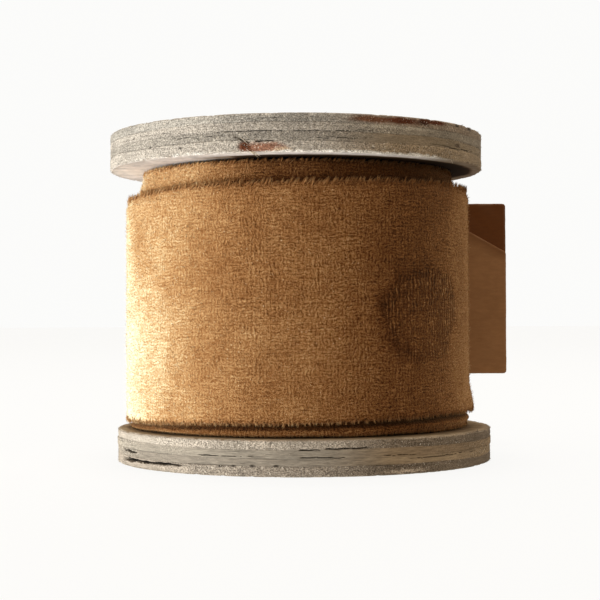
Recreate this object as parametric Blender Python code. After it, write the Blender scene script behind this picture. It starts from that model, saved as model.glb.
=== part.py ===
"""Wooden ribbon spool: plywood discs screwed to a bored hub, wound with velvet ribbon.

The spool stands on its lower disc with +Z up. The origin is on the axle line, in the plane of the
lower disc's underside. The ribbon's free end lies flat across the back of the roll, on the +Y side,
and holds a card label that stands out towards +X.
"""

import math

import bmesh
import bpy

MM = 0.001

# Driving dimensions
DISC_RADIUS = 32.5 * MM
BOTTOM_THICKNESS = 5.7 * MM
TOP_THICKNESS = 6.1 * MM
DISC_RUNOUT = 0.65 * MM  # how far each disc's rim sits off the axle line, to opposite sides along X
DISC_CHAMFER = 0.25 * MM
WINDING_GAP = 44.5 * MM  # clear height between the discs
BORE_RADIUS = 4.5 * MM
HUB_RADIUS = 12.7 * MM

SCREWS_PER_DISC = 3
SCREW_CIRCLE = 8.6 * MM
SCREW_FIRST_ANGLE = math.radians(90)
SCREW_LENGTH = 16.0 * MM
SCREW_SHANK = 1.5 * MM
SCREW_HEAD = 2.9 * MM
SCREW_TIP = 0.3 * MM
SCREW_SUNK = 0.4 * MM  # depth of the head below the disc's face
CROSS_SPAN = 3.2 * MM
CROSS_WIDTH = 0.8 * MM
CROSS_DEPTH = 1.1 * MM

RIBBON_WIDTH = 38.0 * MM
RIBBON_THICKNESS = 1.0 * MM
ROLL_RADIUS = 29.9 * MM  # outside of the last turn
LAST_TURN_FOOT = 8.0 * MM
TAIL_REACH = 9.0 * MM  # where the free end stops, along X
TAIL_LIFT_ANGLE = math.radians(131)  # where the last turn leaves the round roll

LABEL_LENGTH = 50.0 * MM
LABEL_HEIGHT = 33.6 * MM
LABEL_THICKNESS = 0.9 * MM
LABEL_CORNER = 0.7 * MM
LABEL_END = 40.7 * MM  # the label's free edge, along X
LABEL_FOOT = 13.6 * MM
LABEL_FACE = 29.4 * MM  # distance of the label's inner face from the axle line

GAP = 0.3 * MM  # clearance between pieces that touch
SEGMENTS = 96

# Derived places
INNER_FACE_LOW = BOTTOM_THICKNESS
INNER_FACE_HIGH = INNER_FACE_LOW + WINDING_GAP
TOTAL_HEIGHT = INNER_FACE_HIGH + TOP_THICKNESS
WINDING_LOW = INNER_FACE_LOW + GAP
WINDING_HIGH = INNER_FACE_HIGH - GAP
PACK_RADIUS = ROLL_RADIUS - RIBBON_THICKNESS
LAST_TURN_TOP = LAST_TURN_FOOT + RIBBON_WIDTH
LABEL_BACK = LABEL_FACE + LABEL_THICKNESS
LABEL_TUCKED = LABEL_END - LABEL_LENGTH


def clear_scene():
    for item in list(bpy.data.objects):
        bpy.data.objects.remove(item, do_unlink=True)


def material(name, colour, roughness, metallic=0.0):
    made = bpy.data.materials.new(name)
    made.use_nodes = True
    shader = made.node_tree.nodes["Principled BSDF"]
    shader.inputs["Base Color"].default_value = (*colour, 1.0)
    shader.inputs["Roughness"].default_value = roughness
    shader.inputs["Metallic"].default_value = metallic
    made.diffuse_color = (*colour, 1.0)
    return made


def add_object(name, mesh, finish=None):
    """A mesh as an object in the scene, with its material and smooth shading over round faces."""
    made = bpy.data.objects.new(name, mesh)
    bpy.context.scene.collection.objects.link(made)
    if finish is not None:
        mesh.materials.append(finish)
    mesh.shade_smooth()
    mesh.set_sharp_from_angle(angle=math.radians(30))
    return made


def mesh_from(name, shape):
    bmesh.ops.recalc_face_normals(shape, faces=shape.faces)
    mesh = bpy.data.meshes.new(name)
    shape.to_mesh(mesh)
    shape.free()
    return mesh


def turned_mesh(name, outline, segments=SEGMENTS):
    """A closed outline of (radius, height) points spun about the Z axis.

    Points on the axis become single vertices, so an outline may start and end there.
    """
    shape = bmesh.new()
    corners = [shape.verts.new((radius, 0.0, height)) for radius, height in outline]
    edges = [shape.edges.new(pair) for pair in zip(corners, corners[1:])]
    if outline[0][0] > 0.0:
        edges.append(shape.edges.new((corners[-1], corners[0])))
    bmesh.ops.spin(
        shape,
        geom=corners + edges,
        cent=(0.0, 0.0, 0.0),
        axis=(0.0, 0.0, 1.0),
        angle=2.0 * math.pi,
        steps=segments,
        use_merge=True,
    )
    bmesh.ops.remove_doubles(shape, verts=shape.verts, dist=1e-6)
    return mesh_from(name, shape)


def prism_mesh(name, outline, low, high):
    """A closed outline of (x, y) points extruded along Z."""
    shape = bmesh.new()
    face = shape.faces.new([shape.verts.new((x, y, low)) for x, y in outline])
    grown = bmesh.ops.extrude_face_region(shape, geom=[face])
    lifted = [item for item in grown["geom"] if isinstance(item, bmesh.types.BMVert)]
    bmesh.ops.translate(shape, verts=lifted, vec=(0.0, 0.0, high - low))
    return mesh_from(name, shape)


def cutter(name, mesh):
    made = add_object(name, mesh)
    made.hide_render = True
    made.display_type = "WIRE"
    return made


def combine(target, tool, operation):
    step = target.modifiers.new(f"{operation.lower()}_{tool.name}", "BOOLEAN")
    step.object = tool
    step.operation = operation
    step.solver = "EXACT"


def disc_mesh(name, thickness):
    """A plywood disc with its faces at heights 0 and thickness and a lightly eased rim."""
    return turned_mesh(
        name,
        [
            (0.0, 0.0),
            (DISC_RADIUS - DISC_CHAMFER, 0.0),
            (DISC_RADIUS, DISC_CHAMFER),
            (DISC_RADIUS, thickness - DISC_CHAMFER),
            (DISC_RADIUS - DISC_CHAMFER, thickness),
            (0.0, thickness),
        ],
    )


def screw_hole_mesh():
    """A countersunk hole from above the disc's face at height 0 down into the hub."""
    shank = SCREW_SHANK + GAP
    head = SCREW_HEAD + GAP
    floor = -(SCREW_SUNK + SCREW_LENGTH + GAP)
    return turned_mesh(
        "screw_hole",
        [
            (0.0, 1.0 * MM),
            (head, 1.0 * MM),
            (head, -SCREW_SUNK),
            (shank, -SCREW_SUNK - (head - shank)),
            (shank, floor),
            (0.0, floor),
        ],
        segments=32,
    )


def cross_mesh():
    """The driver recess of a screw, as a plus-shaped prism through the top of its head."""
    arm = CROSS_SPAN / 2.0
    half = CROSS_WIDTH / 2.0
    quarter = [(half, half), (half, arm), (-half, arm)]
    outline = []
    for turn in range(4):
        angle = math.radians(90 * turn)
        for x, y in quarter:
            outline.append(
                (x * math.cos(angle) - y * math.sin(angle), x * math.sin(angle) + y * math.cos(angle))
            )
    return prism_mesh("cross", outline, -SCREW_SUNK - CROSS_DEPTH, 0.0)


def screw_mesh(finish):
    """One countersunk screw, head up, measured from the disc's face at height 0."""
    cone = SCREW_HEAD - SCREW_SHANK
    rim = 0.15 * MM
    foot = -(SCREW_SUNK + SCREW_LENGTH)
    point = 2.5 * MM
    blank = add_object(
        "screw_blank",
        turned_mesh(
            "screw_blank",
            [
                (0.0, -SCREW_SUNK),
                (SCREW_HEAD, -SCREW_SUNK),
                (SCREW_HEAD, -SCREW_SUNK - rim),
                (SCREW_SHANK, -SCREW_SUNK - rim - cone),
                (SCREW_SHANK, foot + point),
                (SCREW_TIP, foot),
                (0.0, foot),
            ],
            segments=32,
        ),
        finish,
    )
    cross = cutter("screw_cross", cross_mesh())
    combine(blank, cross, "DIFFERENCE")
    graph = bpy.context.evaluated_depsgraph_get()
    finished = bpy.data.meshes.new_from_object(blank.evaluated_get(graph))
    finished.name = "screw"
    bpy.data.objects.remove(blank, do_unlink=True)
    bpy.data.objects.remove(cross, do_unlink=True)
    return finished


def screw_places():
    """Each screw's name, place in its disc's outer face, and turn about X."""
    places = []
    for disc, height, turn in (("top", TOTAL_HEIGHT, 0.0), ("bottom", 0.0, math.pi)):
        for count in range(SCREWS_PER_DISC):
            angle = SCREW_FIRST_ANGLE + 2.0 * math.pi * count / SCREWS_PER_DISC
            x = SCREW_CIRCLE * math.cos(angle)
            y = SCREW_CIRCLE * math.sin(angle)
            places.append((f"{disc}_screw_{count + 1}", (x, y, height), turn))
    return places


def build_discs(plywood, bore, holes):
    """The two discs, each bored on the axle line and drilled for its own screws."""
    for name, foot, thickness, side in (
        ("bottom_disc", 0.0, BOTTOM_THICKNESS, 1.0),
        ("top_disc", INNER_FACE_HIGH, TOP_THICKNESS, -1.0),
    ):
        disc = add_object(name, disc_mesh(name, thickness), plywood)
        disc.location = (side * DISC_RUNOUT, 0.0, foot)
        combine(disc, bore, "DIFFERENCE")
        for hole in holes[name]:
            combine(disc, hole, "DIFFERENCE")


def build_hub(beech, holes):
    """The turned hub between the discs, bored through, with a blind hole for each screw."""
    outline = [
        (BORE_RADIUS, WINDING_LOW),
        (HUB_RADIUS, WINDING_LOW),
        (HUB_RADIUS, WINDING_HIGH),
        (BORE_RADIUS, WINDING_HIGH),
    ]
    hub = add_object("hub", turned_mesh("hub", outline, segments=64), beech)
    for hole in holes["bottom_disc"] + holes["top_disc"]:
        combine(hub, hole, "DIFFERENCE")


def build_ribbon(velvet):
    """The wound ribbon: inner turns that fill the spool, the last turn, and its flat free end."""
    inside = HUB_RADIUS + GAP
    roll = add_object(
        "ribbon",
        turned_mesh(
            "ribbon",
            [
                (inside, WINDING_LOW),
                (PACK_RADIUS, WINDING_LOW),
                (PACK_RADIUS, LAST_TURN_FOOT),
                (ROLL_RADIUS, LAST_TURN_FOOT),
                (ROLL_RADIUS, LAST_TURN_TOP),
                (PACK_RADIUS, LAST_TURN_TOP),
                (PACK_RADIUS, WINDING_HIGH),
                (inside, WINDING_HIGH),
            ],
        ),
        velvet,
    )
    tail_inner = LABEL_BACK + GAP
    tail_outer = tail_inner + RIBBON_THICKNESS
    lift = math.cos(TAIL_LIFT_ANGLE), math.sin(TAIL_LIFT_ANGLE)
    tail_outline = [
        (lift[0] * ROLL_RADIUS, lift[1] * ROLL_RADIUS),
        (LABEL_TUCKED - GAP, tail_outer),
        (TAIL_REACH, tail_outer),
        (TAIL_REACH, LABEL_FACE - 3.0 * RIBBON_THICKNESS),
        (lift[0] * (ROLL_RADIUS - 3.0 * RIBBON_THICKNESS), lift[1] * (ROLL_RADIUS - 3.0 * RIBBON_THICKNESS)),
    ]
    tail = cutter("ribbon_tail", prism_mesh("ribbon_tail", tail_outline, LAST_TURN_FOOT, LAST_TURN_TOP))
    combine(roll, tail, "UNION")
    pocket_outline = [
        (LABEL_TUCKED - GAP, LABEL_FACE - GAP),
        (LABEL_END + GAP, LABEL_FACE - GAP),
        (LABEL_END + GAP, tail_inner),
        (LABEL_TUCKED - GAP, tail_inner),
    ]
    pocket_low = LABEL_FOOT - GAP
    pocket_high = LABEL_FOOT + LABEL_HEIGHT + GAP
    pocket = cutter("label_pocket", prism_mesh("label_pocket", pocket_outline, pocket_low, pocket_high))
    combine(roll, pocket, "DIFFERENCE")


def build_label(card):
    """The card label: a thin plate with small round corners, standing on edge along X."""
    half_length = LABEL_LENGTH / 2.0
    half_height = LABEL_HEIGHT / 2.0
    outline = []
    for across, up, start in ((1, 1, 0), (-1, 1, 90), (-1, -1, 180), (1, -1, 270)):
        for step in range(4):
            angle = math.radians(start + 30 * step)
            x = across * (half_length - LABEL_CORNER) + LABEL_CORNER * math.cos(angle)
            y = up * (half_height - LABEL_CORNER) + LABEL_CORNER * math.sin(angle)
            outline.append((x, y))
    label = add_object("label_card", prism_mesh("label_card", outline, -LABEL_THICKNESS, 0.0), card)
    label.rotation_euler = (math.radians(90), 0.0, 0.0)
    label.location = (LABEL_END - half_length, LABEL_FACE, LABEL_FOOT + half_height)


def build_spool():
    clear_scene()
    plywood = material("weathered_plywood", (0.46, 0.38, 0.30), 0.85)
    beech = material("hub_wood", (0.55, 0.42, 0.29), 0.75)
    steel = material("screw_steel", (0.55, 0.54, 0.52), 0.4, 1.0)
    velvet = material("velvet", (0.42, 0.22, 0.09), 0.9)
    card = material("label_card", (0.22, 0.10, 0.045), 0.55)

    bore = cutter(
        "axle_bore",
        turned_mesh(
            "axle_bore",
            [
                (0.0, -5.0 * MM),
                (BORE_RADIUS, -5.0 * MM),
                (BORE_RADIUS, TOTAL_HEIGHT + 5.0 * MM),
                (0.0, TOTAL_HEIGHT + 5.0 * MM),
            ],
            segments=64,
        ),
    )
    hole_shape = screw_hole_mesh()
    screw_shape = screw_mesh(steel)
    holes = {"top_disc": [], "bottom_disc": []}
    for name, place, turn in screw_places():
        hole = cutter(f"{name}_hole", hole_shape)
        screw = bpy.data.objects.new(name, screw_shape)
        bpy.context.scene.collection.objects.link(screw)
        for item in (hole, screw):
            item.location = place
            item.rotation_euler = (turn, 0.0, 0.0)
        holes["top_disc" if name.startswith("top") else "bottom_disc"].append(hole)

    build_discs(plywood, bore, holes)
    build_hub(beech, holes)
    build_ribbon(velvet)
    build_label(card)


build_spool()
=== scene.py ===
"""The looks of the ribbon spool: weathered plywood discs, a long velvet ribbon wound turn by turn, its
frayed edges, the card label under its free end, and a plain pale studio around it. Lengths are in mm
until a mesh is made, and s counts turns of the ribbon inwards from where its free end lifts off."""

import math

import bmesh
import bpy
import numpy as np
from mathutils import Matrix, Vector


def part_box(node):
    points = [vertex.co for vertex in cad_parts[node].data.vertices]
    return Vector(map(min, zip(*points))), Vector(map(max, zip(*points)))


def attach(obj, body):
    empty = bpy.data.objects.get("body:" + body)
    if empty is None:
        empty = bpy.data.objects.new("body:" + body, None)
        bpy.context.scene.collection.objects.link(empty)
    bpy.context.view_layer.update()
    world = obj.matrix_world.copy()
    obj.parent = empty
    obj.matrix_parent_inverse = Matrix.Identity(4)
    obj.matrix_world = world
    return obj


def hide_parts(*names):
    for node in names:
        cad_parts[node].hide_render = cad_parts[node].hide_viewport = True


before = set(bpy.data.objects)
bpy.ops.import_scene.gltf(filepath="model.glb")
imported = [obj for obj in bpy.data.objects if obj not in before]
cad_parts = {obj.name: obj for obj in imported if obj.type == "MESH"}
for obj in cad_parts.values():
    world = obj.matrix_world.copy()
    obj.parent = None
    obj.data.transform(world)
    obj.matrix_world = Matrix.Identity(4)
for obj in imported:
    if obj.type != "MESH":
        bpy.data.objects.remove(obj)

MM = 0.001
TAU = 2.0 * math.pi
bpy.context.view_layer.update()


# ---------------------------------------------------------------- numbers from the frame

def box_mm(node):
    """A node's lowest and highest corners at rest."""
    low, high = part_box(node)
    return np.array(low) / MM, np.array(high) / MM


TOP_LOW, TOP_HIGH = box_mm("top_disc")
LABEL_LOW, LABEL_HIGH = box_mm("label_card")
RIBBON_HIGH = box_mm("ribbon")[1]
INNER_LOW = box_mm("bottom_disc")[1][2]  # the discs' inner faces
INNER_HIGH = TOP_LOW[2]


# ---------------------------------------------------------------- noise and small maths

def hashed(cells, seed):
    """A repeatable value from 0 to 1 for each integer lattice point."""
    x, y, z = (cells[..., k].astype(np.int64) for k in range(3))
    n = (x * 73856093) ^ (y * 19349663) ^ (z * 83492791) ^ (seed * 2654435761)
    n = (n ^ (n >> 13)) & 0x7FFFFFFF
    n = (n * 1274126177 + 12345) & 0x7FFFFFFF
    n = (n ^ (n >> 16)) * 2246822519 & 0x7FFFFFFF
    return ((n >> 7) & 0xFFFFFF) / float(0xFFFFFF)


def noise(points, size, seed=0):
    """Smooth value noise from -1 to 1 over points (in mm), with lumps of the given size or sizes."""
    p = np.asarray(points, float) / np.asarray(size, float)
    base = np.floor(p)
    f = p - base
    f = f * f * (3.0 - 2.0 * f)
    total = 0.0
    for dx in (0, 1):
        wx = f[..., 0] if dx else 1.0 - f[..., 0]
        for dy in (0, 1):
            wy = f[..., 1] if dy else 1.0 - f[..., 1]
            for dz in (0, 1):
                wz = f[..., 2] if dz else 1.0 - f[..., 2]
                total = total + wx * wy * wz * hashed(base + np.array([dx, dy, dz]), seed)
    return total * 2.0 - 1.0


def fractal(points, size, seed=0, octaves=3):
    """Noise with finer and fainter noise on top, from -1 to 1."""
    size = np.asarray(size, float)
    total = 0.0
    for k in range(octaves):
        total = total + noise(points, size / 2.0**k, seed + 17 * k) / 2.0**k
    return total / (2.0 - 0.5 ** (octaves - 1))


def smooth(x, low, high):
    """0 at low and 1 at high, easing at both ends; low may be the larger."""
    t = np.clip((x - low) / (high - low), 0.0, 1.0)
    return t * t * (3.0 - 2.0 * t)


def bump_at(x, centre, width):
    """A soft bell of height 1."""
    return np.exp(-(((x - centre) / width) ** 2))


def turn_between(angle, centre):
    """The signed difference of two angles in radians, from -pi to pi."""
    return (angle - centre + math.pi) % TAU - math.pi


def eased(x, xs, ys):
    """Values through the points (xs, ys), easing in and out of each."""
    xs, ys = np.asarray(xs, float), np.asarray(ys, float)
    k = np.clip(np.searchsorted(xs, x) - 1, 0, len(xs) - 2)
    t = np.clip((x - xs[k]) / (xs[k + 1] - xs[k]), 0.0, 1.0)
    t = t * t * (3.0 - 2.0 * t)
    return ys[k] + (ys[k + 1] - ys[k]) * t


# ---------------------------------------------------------------- meshes

def mesh_object(name, points_mm, faces, material, attributes):
    """An object from points in mm, faces as lists of indices, and one value or colour per point."""
    counts = np.array([len(f) for f in faces], np.int32)
    flat = np.fromiter((i for f in faces for i in f), np.int32, int(counts.sum()))
    return mesh_from_arrays(name, points_mm, counts, flat, material, attributes)


def mesh_from_arrays(name, points_mm, counts, flat, material, attributes):
    """The same, from how many corners each face has and the indices of all corners in a row."""
    mesh = bpy.data.meshes.new(name)
    mesh.vertices.add(len(points_mm))
    mesh.vertices.foreach_set("co", (np.asarray(points_mm, np.float32) * MM).ravel())
    mesh.loops.add(len(flat))
    mesh.loops.foreach_set("vertex_index", flat)
    mesh.polygons.add(len(counts))
    starts = np.concatenate([[0], np.cumsum(counts)[:-1]]).astype(np.int32)
    mesh.polygons.foreach_set("loop_start", starts)
    mesh.polygons.foreach_set("use_smooth", np.full(len(counts), True))
    mesh.update(calc_edges=True)
    for key, values in attributes.items():
        values = np.asarray(values, np.float32)
        if values.ndim == 1:
            mesh.attributes.new(key, "FLOAT", "POINT").data.foreach_set("value", values)
        else:
            rgba = np.concatenate([values, np.ones((len(values), 1), np.float32)], axis=1)
            mesh.attributes.new(key, "FLOAT_COLOR", "POINT").data.foreach_set("color", rgba.ravel())
    mesh.materials.append(material)
    made = bpy.data.objects.new(name, mesh)
    bpy.context.scene.collection.objects.link(made)
    return made


def ring_quads(rings, count, flip=False):
    """Quads that join closed rings of count points each, numbered ring by ring."""
    i, j = np.meshgrid(np.arange(rings - 1) * count, np.arange(count), indexing="ij")
    j2 = (j + 1) % count
    quads = np.stack([i + j, i + j2, i + count + j2, i + count + j], axis=-1).reshape(-1, 4)
    return quads[:, ::-1] if flip else quads


def fill_loops(loops):
    """Triangles that fill the first flat loop of points, leaving the other loops as holes."""
    shape = bmesh.new()
    edges = []
    for loop in loops:
        verts = [shape.verts.new(Vector(p)) for p in loop]
        edges += [shape.edges.new((a, b)) for a, b in zip(verts, verts[1:] + verts[:1])]
    shape.verts.index_update()
    bmesh.ops.triangle_fill(shape, edges=edges, use_beauty=True)
    shape.verts.index_update()
    triangles = [[v.index for v in f.verts] for f in shape.faces]
    normals = [f.normal.z for f in shape.faces]
    shape.free()
    return [t if n > 0 else t[::-1] for t, n in zip(triangles, normals)]


def spikes(name, roots, tips, widths, material, tones, bends=None):
    """Thin closed three-sided fibres from roots to tips (mm). With bends, each has one more ring
    of points at its middle, moved sideways by its bend."""
    forward = (tips - roots) / np.linalg.norm(tips - roots, axis=1, keepdims=True)
    helper = np.where(np.abs(forward[:, 2:3]) < 0.8, [[0.0, 0.0, 1.0]], [[1.0, 0.0, 0.0]])
    side = np.cross(forward, helper)
    side /= np.linalg.norm(side, axis=1, keepdims=True)
    up = np.cross(forward, side)
    rings, shown = [(roots, 1.0)], [0.2, 0.2, 0.2, 1.0]
    corners = []
    if bends is not None:
        rings, shown = rings + [((roots + tips) / 2.0 + bends, 0.75)], [0.0] * 3 + [0.5] * 3 + [1.0]
        corners = [[k, (k + 1) % 3, 3 + (k + 1) % 3, 3 + k] for k in range(3)]
    tip, last = len(shown) - 1, len(shown) - 4
    corners += [[last + k, last + (k + 1) % 3, tip] for k in range(3)] + [[2, 1, 0]]
    points = np.zeros((len(roots), len(shown), 3))
    for ring, (middle, share) in enumerate(rings):
        for k in range(3):
            around = side * math.cos(TAU * k / 3.0) + up * math.sin(TAU * k / 3.0)
            points[:, 3 * ring + k] = middle + around * widths[:, None] * share
    points[:, tip] = tips
    base = np.arange(len(roots))[:, None] * len(shown)
    counts = np.repeat([len(c) for c in corners], len(roots)).astype(np.int32)
    flat = np.concatenate([(base + np.array(c)).ravel() for c in corners]).astype(np.int32)
    attributes = {"tone": np.repeat(tones, len(shown)), "tip": np.tile(shown, len(roots))}
    return mesh_from_arrays(name, points.reshape(-1, 3), counts, flat, material, attributes)


# ---------------------------------------------------------------- materials

class Look:
    """A node material with a Principled shader, built with short calls."""

    def __init__(self, name, settings):
        self.material = bpy.data.materials.new(name)
        self.material.use_nodes = True
        self.tree = self.material.node_tree
        self.shader = self.tree.nodes["Principled BSDF"]
        self.place = self.add("ShaderNodeTexCoord").outputs["Object"]
        for key, value in settings.items():
            self.shader.inputs[key].default_value = value

    def add(self, kind, inputs=None, **settings):
        made = self.tree.nodes.new(kind)
        for key, value in settings.items():
            setattr(made, key, value)
        for key, value in (inputs or {}).items():
            self.feed(made.inputs[key], value)
        return made

    def feed(self, socket, value):
        if isinstance(value, bpy.types.NodeSocket):
            self.tree.links.new(value, socket)
        else:
            socket.default_value = value

    def attribute(self, name, output="Fac"):
        return self.add("ShaderNodeAttribute", attribute_name=name).outputs[output]

    def scaled(self, vector, scale):
        return self.add("ShaderNodeMapping", {"Vector": vector, "Scale": scale}).outputs["Vector"]

    def noise(self, scale, detail=2.0, rough=0.5, vector=None, stretch=(1, 1, 1), distortion=0.0):
        source = self.scaled(vector or self.place, tuple(scale * s for s in stretch))
        return self.add(
            "ShaderNodeTexNoise",
            {"Vector": source, "Scale": 1.0, "Detail": detail, "Roughness": rough, "Distortion": distortion},
        ).outputs["Fac"]

    def maths(self, operation, a, b=0.0):
        return self.add("ShaderNodeMath", {0: a, 1: b}, operation=operation).outputs[0]

    def times(self, value, *factors):
        for factor in factors:
            value = self.maths("MULTIPLY", value, factor)
        return value

    def plus(self, a, b):
        return self.maths("ADD", a, b)

    def waves(self, value, scale):
        return self.maths("SINE", self.times(value, scale))

    def range(self, value, low, high, to_low=0.0, to_high=1.0):
        return self.add(
            "ShaderNodeMapRange",
            {"Value": value, "From Min": low, "From Max": high, "To Min": to_low, "To Max": to_high},
        ).outputs["Result"]

    def mix(self, factor, a, b, blend="MIX"):
        made = self.add("ShaderNodeMix", data_type="RGBA", blend_type=blend)
        for index, value in ((0, factor), (6, a), (7, b)):
            self.feed(made.inputs[index], (*value, 1.0) if isinstance(value, tuple) else value)
        return made.outputs[2]

    def tinted(self, a, b):
        return self.mix(1.0, a, b, "MULTIPLY")

    def mix_values(self, factor, a, b):
        return self.add("ShaderNodeMix", {0: factor, 2: a, 3: b}, data_type="FLOAT").outputs[0]

    def bump(self, height, distance_mm, strength):
        inputs = {"Height": height, "Distance": distance_mm * MM, "Strength": strength}
        return self.add("ShaderNodeBump", inputs).outputs["Normal"]

    def finish(self, colour, normal=None, roughness=None):
        for key, value in (("Base Color", colour), ("Normal", normal), ("Roughness", roughness)):
            if value is not None:
                self.feed(self.shader.inputs[key], value)
        return self.material


def plywood_look():
    """Raw plywood: tone painted per point on the rim, pores on end grain, streaks on long grain."""
    look = Look("weathered_plywood", {"Specular IOR Level": 0.12})
    tone = look.attribute("tone", "Color")
    end = look.attribute("end_grain")
    face = look.attribute("face")
    pores = look.noise(5200, 2.0, 0.7, stretch=(0.8, 0.8, 1.15))
    streaks = look.noise(1500, 4.0, 0.7, stretch=(0.35, 0.35, 3.2))
    grain = look.noise(420, 5.0, 0.62, stretch=(0.09, 1.0, 1.0), distortion=0.6)
    smooth_side = look.range(streaks, 0.3, 0.7, 0.60, 1.38)
    rough_side = look.range(pores, 0.36, 0.64, 0.42, 1.56)
    lines = look.range(look.noise(1400, 3.0, 0.7, stretch=(0.3, 0.3, 3.4)), 0.3, 0.7, 0.80, 1.2)
    rough_side = look.tinted(rough_side, lines)
    rim = look.mix(end, smooth_side, rough_side)
    patches = look.range(look.noise(130, 4.0, 0.6), 0.3, 0.7, 0.82, 1.16)
    checks = look.range(look.noise(520, 3.0, 0.65, stretch=(0.22, 0.22, 4.6)), 0.30, 0.37, 0.50, 1.0)
    rings = look.waves(look.noise(48, 2.0, 0.5, stretch=(0.2, 1.0, 1.0)), 85.0)
    fine = look.noise(2300, 2.0, 0.6, stretch=(0.03, 1.0, 1.0))
    flat = look.range(grain, 0.3, 0.7, 0.80, 1.18)
    flat = look.tinted(flat, look.range(fine, 0.35, 0.65, 0.86, 1.10))
    flat = look.tinted(flat, look.range(rings, -1.0, 1.0, 0.90, 1.05))
    shade = look.mix(face, look.tinted(rim, checks), flat)
    colour = look.tinted(tone, look.tinted(shade, patches))
    # pale flecks on the end grain: painted glints
    flecks = look.range(look.noise(3800, 1.0, 0.5), 0.65, 0.71)
    bright = look.times(flecks, look.range(end, 0.2, 1.0), 0.75)
    colour = look.mix(bright, colour, (0.78, 0.70, 0.58))
    height = look.mix(face, look.mix(end, streaks, pores), grain)
    normal = look.bump(height, 0.14, 0.9)
    return look.finish(colour, normal, look.range(height, 0.2, 0.8, 0.95, 0.75))


VELVET_SHEEN = (1.0, 0.66, 0.34, 1.0)


def velvet_tones(look, lightness):
    """Caramel that deepens to a saturated brown where painted shade darkens it and pales to cream where
    painted highlight lightens it.
    """
    ramp = look.add("ShaderNodeValToRGB", {"Fac": look.times(lightness, 0.25)})
    stops = [
        (0.0, (0.020, 0.006, 0.001)),
        (0.07, (0.085, 0.027, 0.006)),
        (0.25, (0.285, 0.122, 0.039)),
        (0.50, (0.560, 0.325, 0.140)),
        (0.78, (0.850, 0.720, 0.440)),
        (1.0, (0.950, 0.900, 0.700)),
    ]
    elements = ramp.color_ramp.elements
    while len(elements) < len(stops):
        elements.new(0.5)
    for element, (at, colour) in zip(elements, stops):
        element.position = at
        element.color = (*colour, 1.0)
    return ramp.outputs["Color"]


def velvet_look():
    """Caramel velvet: fine tufts of pile in faint rows, mottled, darker where it is pressed, with painted
    highlight, shade and glints.
    """
    sheen = {"Sheen Weight": 0.35, "Sheen Roughness": 0.35, "Sheen Tint": VELVET_SHEEN}
    look = Look("velvet", {"Roughness": 0.95, "Specular IOR Level": 0.08, **sheen})
    along = look.attribute("along")
    across = look.attribute("across")
    woven = look.add("ShaderNodeCombineXYZ", {"X": along, "Y": across, "Z": 0.0}).outputs[0]
    loose = look.add("ShaderNodeTexNoise", {"Vector": woven, "Scale": 0.55, "Detail": 3.0}).outputs["Color"]
    wander = look.add("ShaderNodeVectorMath", {0: loose, 1: (0.5, 0.5, 0.5)}, operation="SUBTRACT").outputs[0]
    wander = look.add("ShaderNodeVectorMath", {0: wander, "Scale": 1.3}, operation="SCALE").outputs[0]
    shifted = look.add("ShaderNodeVectorMath", {0: woven, 1: wander}, operation="ADD").outputs[0]
    apart = look.add("ShaderNodeSeparateXYZ", {"Vector": shifted}).outputs
    upright = look.noise(2.9, 2.0, 0.62, vector=shifted, stretch=(1.55, 0.5, 1.0))
    level = look.noise(2.9, 2.0, 0.62, vector=shifted, stretch=(0.5, 1.55, 1.0))
    fine = look.noise(5.6, 2.0, 0.6, vector=woven)
    swept = look.range(look.noise(0.30, 2.0, 0.5, vector=woven), 0.42, 0.58)
    strands = look.mix_values(swept, upright, level)
    rows = look.waves(apart["X"], TAU / 0.62)
    lines = look.waves(apart["Y"], TAU / 0.56)
    mottle = look.noise(0.13, 4.0, 0.62, vector=woven, stretch=(1.0, 0.8, 1.0))
    strokes = look.noise(0.6, 3.0, 0.6, vector=woven, stretch=(0.6, 1.5, 1.0))
    pressed = look.attribute("pressed")
    # the attribute 'depth' carries the pile's painted highlight and shade
    light = look.attribute("depth")
    rows_here = look.times(rows, look.range(swept, 0.0, 1.0, 0.026, 0.012))
    lines_here = look.times(lines, look.range(swept, 0.0, 1.0, 0.014, 0.026))
    pile = look.plus(look.times(strands, 0.44), look.times(fine, 0.56))
    pile = look.plus(pile, look.plus(rows_here, lines_here))
    # the texture shows more strongly where the painted shade is deep
    contrast = look.times(look.range(light, 0.50, 1.30, 2.30, 0.88), look.range(pressed, 0.0, 1.0, 1.0, 1.35))
    relief = look.times(look.range(pile, 0.40, 0.60, -0.50, 0.50), contrast)
    stripe = look.waves(apart["X"], TAU / 0.72)
    clumps = look.noise(1.25, 3.0, 0.65, vector=shifted, stretch=(1.6, 0.5, 1.0))
    patchy = look.range(look.noise(0.35, 2.0, 0.5, vector=woven), 0.35, 0.65, 0.75, 1.30)
    ribs = look.range(stripe, -1.0, 1.0, 0.42, 1.32)
    crushed = look.times(ribs, look.range(clumps, 0.36, 0.64, 0.30, 1.70), patchy, 0.66)
    # painted glints on the pile
    painted_glints = look.range(look.noise(4.2, 1.0, 0.5, vector=woven), 0.70, 0.76)
    shade = look.times(
        look.maths("MAXIMUM", look.plus(relief, 1.0), 0.12),
        look.range(mottle, 0.3, 0.7, 0.80, 1.20),
        look.range(strokes, 0.3, 0.7, 0.86, 1.14),
        look.mix_values(pressed, 1.0, crushed),
        light,
        look.range(painted_glints, 0.0, 1.0, 1.0, 2.2),
    )
    height = look.plus(pile, look.times(stripe, pressed, 0.10))
    return look.finish(velvet_tones(look, shade), look.bump(height, 0.30, 1.0))


def fibre_look(name, root, tip):
    """Loose wood fibres, lighter towards their tips, each with its own tone."""
    look = Look(name, {"Roughness": 0.9, "Specular IOR Level": 0.2})
    colour = look.mix(look.attribute("tip"), root, tip)
    speckle = look.range(look.noise(1500, 1.0), 0.3, 0.7, 0.85, 1.15)
    tone = look.times(look.attribute("tone"), speckle)
    return look.finish(look.tinted(colour, tone))


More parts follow.
